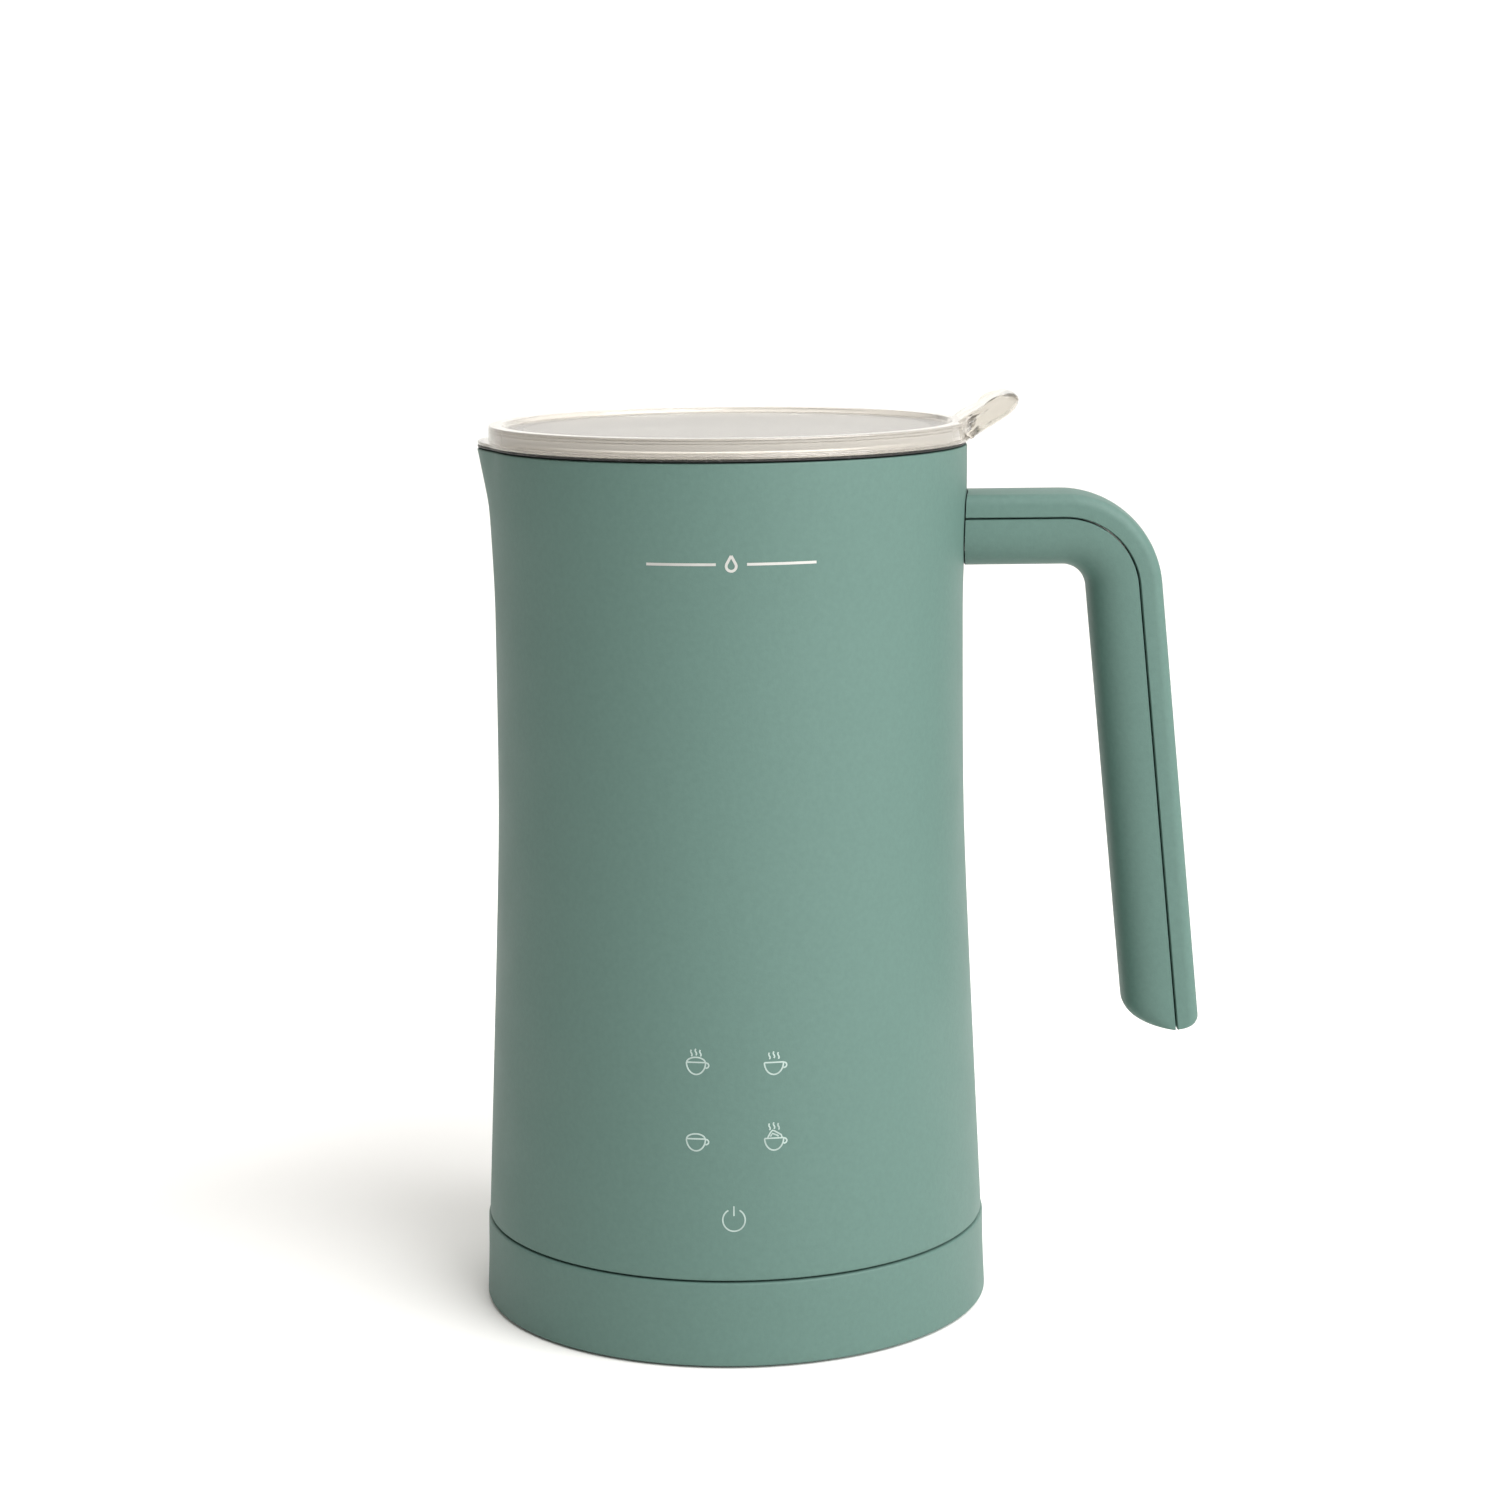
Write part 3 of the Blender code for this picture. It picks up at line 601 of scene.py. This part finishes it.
# ---------------------------------------------------------------- handle

def bend_station(share):
    """A station this share of the way round the bend, from the arm to the grip."""
    whole = math.pi / 2 - HANDLE_LEAN
    angle = whole * share
    return (HANDLE_BEND_X + HANDLE_BEND_R * math.sin(angle),
            HANDLE_ARM_Z - HANDLE_BEND_R + HANDLE_BEND_R * math.cos(angle),
            math.sin(angle), math.cos(angle), HANDLE_GRIP + HANDLE_BEND_R * whole * (1 - share))


def grip_station(left):
    """A station on the straight grip, at this distance from its lower end."""
    x, z = bend_station(1.0)[:2]
    down = HANDLE_GRIP - left
    return (x + down * math.sin(HANDLE_LEAN), z - down * math.cos(HANDLE_LEAN),
            math.cos(HANDLE_LEAN), math.sin(HANDLE_LEAN), left)


def handle_path():
    """Stations along the joint line: x, z, outward normal and distance to the lower end."""
    stations = [bend_station(step / 28) for step in range(29)]
    for left in (84.0, 70.0, 56.0, 42.0, 28.0, 16.0, 9.0):
        stations.append(grip_station(left))
    for step in range(17):
        stations.append(grip_station(6.5 * (1 - math.sin(math.pi / 2 * step / 16))))
    return stations


def end_round(left, length):
    """Quarter ellipse from 0 at the lower end to 1 at this distance from it."""
    if left >= length:
        return 1.0
    return math.sqrt(max(0.0, 1 - ((length - left) / length) ** 2))


def inner_outline(left):
    """The palm side: a rounded D, with softened edges at the joint line."""
    depth = 0.8 + (HANDLE_IN - 0.8) * end_round(left, 6.5)
    seam = -HANDLE_SEAM / 2
    half = HANDLE_HALF_WIDTH
    points = [(half - 0.25, seam)]
    for step in range(33):
        angle = math.pi * step / 32
        across = abs(math.cos(angle)) ** 0.75 * math.copysign(1, math.cos(angle))
        points.append((half * across, seam - 0.2 - (depth - 0.2) * math.sin(angle) ** 0.75))
    points.append((-half + 0.25, seam))
    return points


def outer_outline(left):
    """The outer side: flatter, crowned a little, with rounded edges."""
    depth = 3.0 + (HANDLE_OUT - 3.0) * end_round(left, 2.6)
    half, seam, corner = HANDLE_HALF_WIDTH, HANDLE_SEAM / 2, 2.4
    side = [(half - 0.25, seam), (half, seam + 0.2)]
    for step in range(9):
        angle = math.pi / 2 * step / 8
        side.append((half - corner * (1 - math.cos(angle)),
                     depth - 0.4 - corner * (1 - math.sin(angle))))
    for y in (6.0, 4.5, 3.0, 1.5):
        side.append((y, depth - 0.4 * (y / 7.1) ** 2))
    return side + [(0.0, depth)] + [(-y, w) for y, w in side[::-1]]


def handle_half(name, outline_at, node):
    """One half of the handle, with its root cut to fit round the jug's wall."""
    points = [(46.0, y, HANDLE_ARM_Z + w) for y, w in outline_at(HANDLE_GRIP)]
    size = len(points)
    stations = handle_path()
    for x, z, nx, nz, left in stations:
        points += [(x + w * nx, y, z + w * nz) for y, w in outline_at(left)]
    faces = skin_faces(len(stations) + 1, size)
    half = add_mesh(name, points, faces, handle_green, "jug", [node], 40)
    low = 156.0
    heights = [low + 2.0 * step for step in range(13)]
    wall = [(0, low)] + [(jug_radius(z) + GAP, z) for z in heights] + [(0, heights[-1])]
    verts, wall_faces = turned_mesh(wall, ROUND_SIDES)
    combine(half, add_mesh("wall", verts, wall_faces, green, None), "DIFFERENCE")
    half.data.shade_smooth()
    half.data.set_sharp_from_angle(angle=math.radians(40))
    return half


def core_strip(half, low, high, stop, start_x):
    """Points and faces of a strip along the joint line, from start_x down to near the end."""
    outline = [(half, low), (half, high), (-half, high), (-half, low)]
    points = [(start_x, y, HANDLE_ARM_Z + w) for y, w in outline]
    stations = [bend_station((step + 0.5) / 28) for step in range(28)] + [grip_station(stop)]
    for x, z, nx, nz, left in stations:
        points += [(x + w * nx, y, z + w * nz) for y, w in outline]
    return points, skin_faces(len(stations) + 1, 4)


def make_handle():
    palm = handle_half("handle_palm_half", inner_outline, "handle_inner")
    handle_half("handle_outer_half", outer_outline, "handle_outer")
    points, faces = core_strip(5.0, -3.0, 1.0, 7.0, 54.0)
    combine(palm, add_mesh("slot", points, faces, steel, None), "DIFFERENCE")
    palm.data.set_sharp_from_angle(angle=math.radians(40))
    points, faces = core_strip(4.6, -2.7, 0.12, 7.9, 54.4)
    add_mesh("handle_strap", points, faces, steel, "jug", ["handle_core"])


# ---------------------------------------------------------------- whisk

def make_whisk():
    low, mid = 81.5, WHISK_Z
    hub = turned("whisk_body", rounded([
        (0, 86.6, 0), (2.0, 86.6, 0), (2.0, low, 0.2), (13.0, low, 0.3), (13.4, low + 1.4, 0.5),
        (12.0, low + 2.2, 0.5), (12.0, mid + 2.8, 0.6), (12.4, mid + 3.4, 0.3), (11.6, mid + 4.4, 1.2),
        (5.0, mid + 5.2, 2.5), (3.4, mid + 6.2, 1.0), (3.4, mid + 10.2, 0.9), (0, mid + 10.2, 0)]),
        dark, "whisk", ["whisk_hub"], 96)
    for number, (x, y) in around(2, 7.5, 0):
        pocket = turned("pocket", [(0, 80), (3.3, 80), (3.3, 84.0), (0, 84.0)], dark, None,
                        sides=40, centre=(x, y))
        combine(hub, pocket, "DIFFERENCE")
        turned(f"whisk_driver_{number}", rounded([(0, low + 0.1, 0), (3.0, low + 0.1, 0.3),
                                                  (3.0, 83.7, 0.3), (0, 83.7, 0)]), magnet, "whisk",
               [f"whisk_magnet_{number}"], 48, (x, y))
    turns, per_turn = 66, 14
    winding_r = WHISK_COIL_TUBE_R - WHISK_WIRE_R
    points = []
    for index in range(turns * per_turn):
        swing = 2 * math.pi * index / per_turn
        angle = 2 * math.pi * index / (turns * per_turn)
        r = WHISK_COIL_R + winding_r * math.cos(swing)
        points.append((r * math.cos(angle), r * math.sin(angle), mid + winding_r * math.sin(swing)))
    verts, faces = closed_tube(points, WHISK_WIRE_R, 7)
    add_mesh("whisk_coil", verts, faces, steel, "whisk", ["whisk_spring"], 60)


# ---------------------------------------------------------------- prints

def ribbon(points, width):
    """A printed stroke on the jug's front: a thin closed band along (x, z) points."""
    verts = []
    count = len(points)
    top, bottom = PRINT_LIFT, PRINT_LIFT - PRINT_THICK
    for index, (x, z) in enumerate(points):
        before = Vector(points[max(index - 1, 0)])
        after = Vector(points[min(index + 1, count - 1)])
        along = (after - before).normalized()
        aside = Vector((-along.y, along.x)) * width / 2
        for side, height in ((1, top), (-1, top), (-1, bottom), (1, bottom)):
            px, pz = x + aside.x * side, z + aside.y * side
            verts.append(on_front(px, pz, height))
    return verts, skin_faces(count, 4)


def on_front(x, z, height):
    """A point this high above the jug's front face."""
    r = jug_radius(z) + height
    return (x, -math.sqrt(r * r - x * x), z)


def print_piece(name, strokes, look, width):
    """All the strokes of one print as a single piece, standing a little off the shell's face."""
    verts, faces = [], []
    for stroke in strokes:
        points, made = ribbon(stroke, width)
        first = len(verts)
        verts += points
        faces += [tuple(first + index for index in face) for face in made]
    return add_mesh(name, verts, faces, look, "jug")


def arc(cx, cz, rx, rz, start, end, steps=24):
    """Points on an ellipse; 0 degrees points to +X and 90 up."""
    points = []
    for step in range(steps + 1):
        angle = math.radians(start + (end - start) * step / steps)
        points.append((cx + rx * math.cos(angle), cz + rz * math.sin(angle)))
    return points


def cup_symbol(x, z, top, steam):
    """A cup seen from the side: bowl, ring handle, what fills it and its steam."""
    strokes = [arc(x, z, 1.95, 2.5, 180, 360, 32)]
    strokes.append([(x - 1.95, z), (x + 1.95, z)])
    strokes.append(arc(x + 1.98, z - 0.62, 0.62, 0.55, 100, -95, 16))
    if top == "dome":
        strokes.append(arc(x, z - 0.1, 1.92, 1.15, 178, 2, 24))
    if top == "mound":
        strokes.append([(x - 1.35, z + 0.1), (x - 0.75, z + 1.2), (x - 0.35, z + 1.65),
                        (x + 0.1, z + 1.5), (x + 1.45, z + 0.65), (x + 1.62, z + 0.1)])
        strokes.append([(x - 0.75, z + 0.35), (x - 0.35, z + 1.0), (x + 0.7, z + 0.55),
                        (x + 0.9, z + 0.3)])
    if steam:
        for side in (-0.92, 0.0, 0.92):
            lift = 0.2 if side == 0 else 0.0
            wave = []
            for step in range(15):
                share = step / 14
                sway = 0.13 * math.sin(2 * math.pi * share)
                wave.append((x + side + sway, z + steam + lift + 1.35 * share))
            strokes.append(wave)
    return strokes


def make_symbols():
    strokes = cup_symbol(-7.77, 64.33, "dome", 1.25)
    strokes += cup_symbol(8.12, 64.14, None, 0.7)
    strokes += cup_symbol(-7.98, 48.41, "dome", 0)
    strokes += cup_symbol(8.01, 48.38, "mound", 1.72)
    strokes.append(arc(-0.38, 31.5, 2.3, 2.34, 60, -240, 48))
    strokes.append([(-0.38, 32.35), (-0.38, 34.38)])
    print_piece("touch_symbols", strokes, print_look, 0.30)


def make_ornament():
    """A plain silver line either side of a small milk drop."""
    middle = 166.0
    drop = arc(0.5, middle - 0.35, 1.0, 1.0, 150, 390, 24)
    tip = (0.5, middle + 1.75)
    outline = [tip] + drop + [tip]
    strokes = [[(-16.45 + 13.9 * i / 12, middle) for i in range(13)],
               [(3.65 + 13.9 * i / 12, middle) for i in range(13)], outline]
    print_piece("drop_ornament", strokes, silver_look, 0.55)


# ---------------------------------------------------------------- pieces kept from the CAD

KEPT = {
    "steel": ["base_screw_1", "base_screw_2", "base_screw_3", "cover_screw_1", "cover_screw_2",
              "cover_screw_3", "handle_screw_1", "handle_screw_2", "heating_element",
              "temperature_sensor", "rotor_shaft"],
    "brushed": ["heat_shield", "motor"],
    "cast": ["heater_plate", "capacitor"],
    "dark": ["chassis", "transformer", "relay", "thermal_cutout", "rotor_disc"],
    "board": ["control_board", "touch_board"],
    "magnet": ["rotor_magnet_1", "rotor_magnet_2"],
}


def dress_kept_nodes():
    looks = {"steel": steel, "brushed": brushed, "cast": cast, "dark": dark, "board": board_look,
             "magnet": magnet}
    for kind, names in KEPT.items():
        for name in names:
            mesh = bpy.data.objects[name].data
            mesh.materials.clear()
            mesh.materials.append(looks[kind])


# ---------------------------------------------------------------- stage, light and camera

def make_stage():
    """A white floor that curves up into a backdrop."""
    radius, back, half, top = 900.0, 2600.0, 4000.0, 3200.0
    line = [(-3000.0, 0.0), (back - radius, 0.0)]
    for step in range(1, 17):
        angle = math.pi / 2 * step / 16
        line.append((back - radius + radius * math.sin(angle), radius * (1 - math.cos(angle))))
    line.append((back, top))
    verts = [(side * half, y, z) for y, z in line for side in (-1, 1)]
    faces = [(2 * i, 2 * i + 1, 2 * i + 3, 2 * i + 2) for i in range(len(line) - 1)]
    look = Look("floor_paper", srgb(250, 249, 247), 0.7, Specular_IOR_Level=0.2)
    look.vary_colour(look.map_range(look.noise(3.0), 0.0, 1.0), srgb(249, 248, 246))
    floor = add_mesh("floor", verts, faces, look.made, None)


def area_light(name, place, aim, size, power):
    data = bpy.data.lights.new(name, "AREA")
    data.shape = "RECTANGLE"
    data.size, data.size_y = size
    data.energy = power
    light = bpy.data.objects.new(name, data)
    bpy.context.scene.collection.objects.link(light)
    light.location = place
    light.rotation_euler = (Vector(aim) - Vector(place)).to_track_quat("-Z", "Y").to_euler()


def make_lights():
    """A broad key from the right front, soft light above and on the backdrop, a dim warm room."""
    world = bpy.data.worlds.new("studio")
    bpy.context.scene.world = world
    world.use_nodes = True
    background = world.node_tree.nodes["Background"]
    background.inputs["Color"].default_value = (1.0, 0.965, 0.92, 1)
    background.inputs["Strength"].default_value = 0.385
    area_light("key", (1.15, -1.05, 1.40), (0, 0, 0.09), (2.0, 2.0), 73.0)
    area_light("above", (0.25, 0.75, 2.3), (0, 0.1, 0), (2.4, 1.6), 14.0)
    area_light("backdrop_light", (0.0, 0.9, 2.3), (0.0, 2.6, 0.7), (3.0, 0.8), 17.0)


def make_camera():
    """The viewpoint: in front and a little above, with a long lens."""
    pan, down, roll = 0.006035, 0.168164, -0.009958
    stand_y, stand_z = -0.69212, 0.23750
    ahead = Vector((math.sin(pan) * math.cos(down), math.cos(pan) * math.cos(down), -math.sin(down)))
    level = Vector((math.cos(pan), -math.sin(pan), 0))
    upright = level.cross(ahead)
    right = math.cos(roll) * level + math.sin(roll) * upright
    up = math.cos(roll) * upright - math.sin(roll) * level
    data = bpy.data.cameras.new("camera")
    data.lens, data.sensor_width = 77.82, 36.0
    data.clip_start, data.clip_end = 0.05, 20.0
    camera = bpy.data.objects.new("camera", data)
    bpy.context.scene.collection.objects.link(camera)
    camera.matrix_world = Matrix((
        (right.x, up.x, -ahead.x, 0.0), (right.y, up.y, -ahead.y, stand_y),
        (right.z, up.z, -ahead.z, stand_z), (0, 0, 0, 1)))
    bpy.context.scene.camera = camera


make_camera()
make_base()
make_base_fittings()
make_shell()
make_pot()
make_jug_underside()
make_lid()
make_handle()
make_whisk()
make_symbols()
make_ornament()
dress_kept_nodes()
make_stage()
make_lights()
bpy.context.scene.view_settings.view_transform = "Standard"
